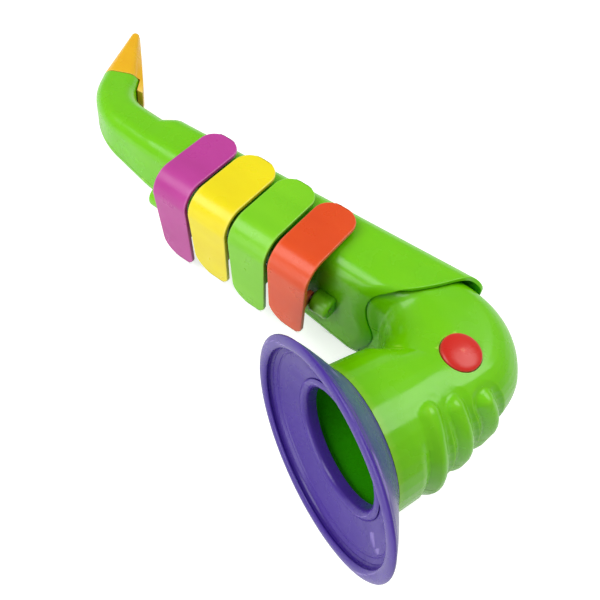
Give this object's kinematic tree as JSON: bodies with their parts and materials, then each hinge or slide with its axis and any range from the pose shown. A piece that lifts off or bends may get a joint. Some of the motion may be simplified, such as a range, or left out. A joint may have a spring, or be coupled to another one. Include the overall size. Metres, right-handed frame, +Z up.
{
  "type": "toy saxophone",
  "caption": "Toy saxophone of moulded plastic: tapered body with a bent neck, wedge mouthpiece, elbow bow, flared bell and sprung keys over tone holes.",
  "frame": {"origin": "middle of the bounding box in X and Y, on the ground that the toy lies on", "axes": "+Z up with the key side up; +X from the mouthpiece towards the bow; -Y towards the bell's mouth"},
  "size_m": [0.2964, 0.1582, 0.1121],
  "materials": {
    "green_plastic": "moulded gloss ABS",
    "amber_plastic": "moulded gloss ABS",
    "violet_plastic": "moulded gloss ABS",
    "button_plastic": "moulded gloss ABS",
    "purple_plastic": "moulded gloss ABS",
    "yellow_plastic": "moulded gloss ABS",
    "lime_plastic": "moulded gloss ABS",
    "red_plastic": "moulded gloss ABS",
    "pad_rubber": "matt rubber",
    "plate_plastic": "matt moulded ABS",
    "screw_steel": "zinc plated",
    "spring_steel": "drawn spring wire",
    "reed_brass": "rolled sheet"
  },
  "bodies": {
    "instrument": {"body_shell": "green_plastic", "rear_cover": "green_plastic", "mouthpiece": "amber_plastic", "bow_near_shell": "green_plastic", "bow_far_shell": "green_plastic", "bell": "violet_plastic", "red_button": "button_plastic", "bow_screw": "screw_steel", "hinge_rod": "screw_steel", "purple_key_spring": "spring_steel", "purple_reed": "reed_brass", "yellow_key_spring": "spring_steel", "yellow_reed": "reed_brass", "green_key_spring": "spring_steel", "green_reed": "reed_brass", "red_key_spring": "spring_steel", "red_reed": "reed_brass", "reed_gasket": "pad_rubber", "reed_plate": "plate_plastic", "reed_plate_screw_1": "screw_steel", "reed_plate_screw_2": "screw_steel", "cover_screw_1": "screw_steel", "cover_screw_2": "screw_steel", "cover_screw_3": "screw_steel", "cover_screw_4": "screw_steel", "cover_screw_5": "screw_steel"},
    "purple_key_lever": {"purple_key": "purple_plastic", "purple_key_pad": "pad_rubber"},
    "yellow_key_lever": {"yellow_key": "yellow_plastic", "yellow_key_pad": "pad_rubber"},
    "green_key_lever": {"green_key": "lime_plastic", "green_key_pad": "pad_rubber"},
    "red_key_lever": {"red_key": "red_plastic", "red_key_pad": "pad_rubber"}
  },
  "joints": [
    {"name": "purple_key_hinge", "type": "hinge", "parent": "instrument", "child": "purple_key_lever", "pos_m": [-0.03812, 0.00501, 0.02736], "axis": [0.987, 0.0292, 0.1582], "range_deg": [0, 12], "stiffness_Nm_per_rad": 0.02, "springref_deg": -25.78, "deforming": ["purple_key_spring"]},
    {"name": "yellow_key_hinge", "type": "hinge", "parent": "instrument", "child": "yellow_key_lever", "pos_m": [-0.01418, 0.00572, 0.03119], "axis": [0.987, 0.0292, 0.1582], "range_deg": [0, 12], "stiffness_Nm_per_rad": 0.02, "springref_deg": -25.78, "deforming": ["yellow_key_spring"]},
    {"name": "green_key_hinge", "type": "hinge", "parent": "instrument", "child": "green_key_lever", "pos_m": [0.01029, 0.00644, 0.03512], "axis": [0.987, 0.0292, 0.1582], "range_deg": [0, 12], "stiffness_Nm_per_rad": 0.02, "springref_deg": -25.78, "deforming": ["green_key_spring"]},
    {"name": "red_key_hinge", "type": "hinge", "parent": "instrument", "child": "red_key_lever", "pos_m": [0.03423, 0.00715, 0.03895], "axis": [0.987, 0.0292, 0.1582], "range_deg": [0, 12], "stiffness_Nm_per_rad": 0.02, "springref_deg": -25.78, "deforming": ["red_key_spring"]}
  ]
}
